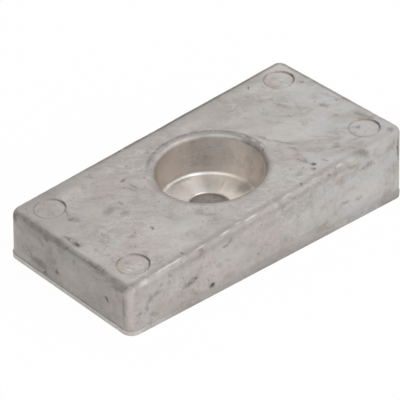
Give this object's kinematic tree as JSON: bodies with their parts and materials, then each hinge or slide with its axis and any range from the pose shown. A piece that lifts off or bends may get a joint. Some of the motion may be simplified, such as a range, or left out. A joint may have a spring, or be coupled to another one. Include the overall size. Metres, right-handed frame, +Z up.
{
  "type": "sacrificial anode",
  "caption": "Wedge-shaped rectangular block anode, cast in one piece, with drafted sides, a flat base and a recessed central bolt hole.",
  "frame": {"origin": "centre of the flat mounting base, on the bolt hole's axis", "axes": "+Z up, away from the mounting base along the bolt hole; +X along the block from its thin end to its thick end; +Y across it"},
  "size_m": [0.075, 0.0384, 0.0167],
  "materials": {
    "cast_metal": "as cast, matte, dull oxidised grey"
  },
  "bodies": {
    "root": {"anode_block": "cast_metal"}
  },
  "joints": []
}
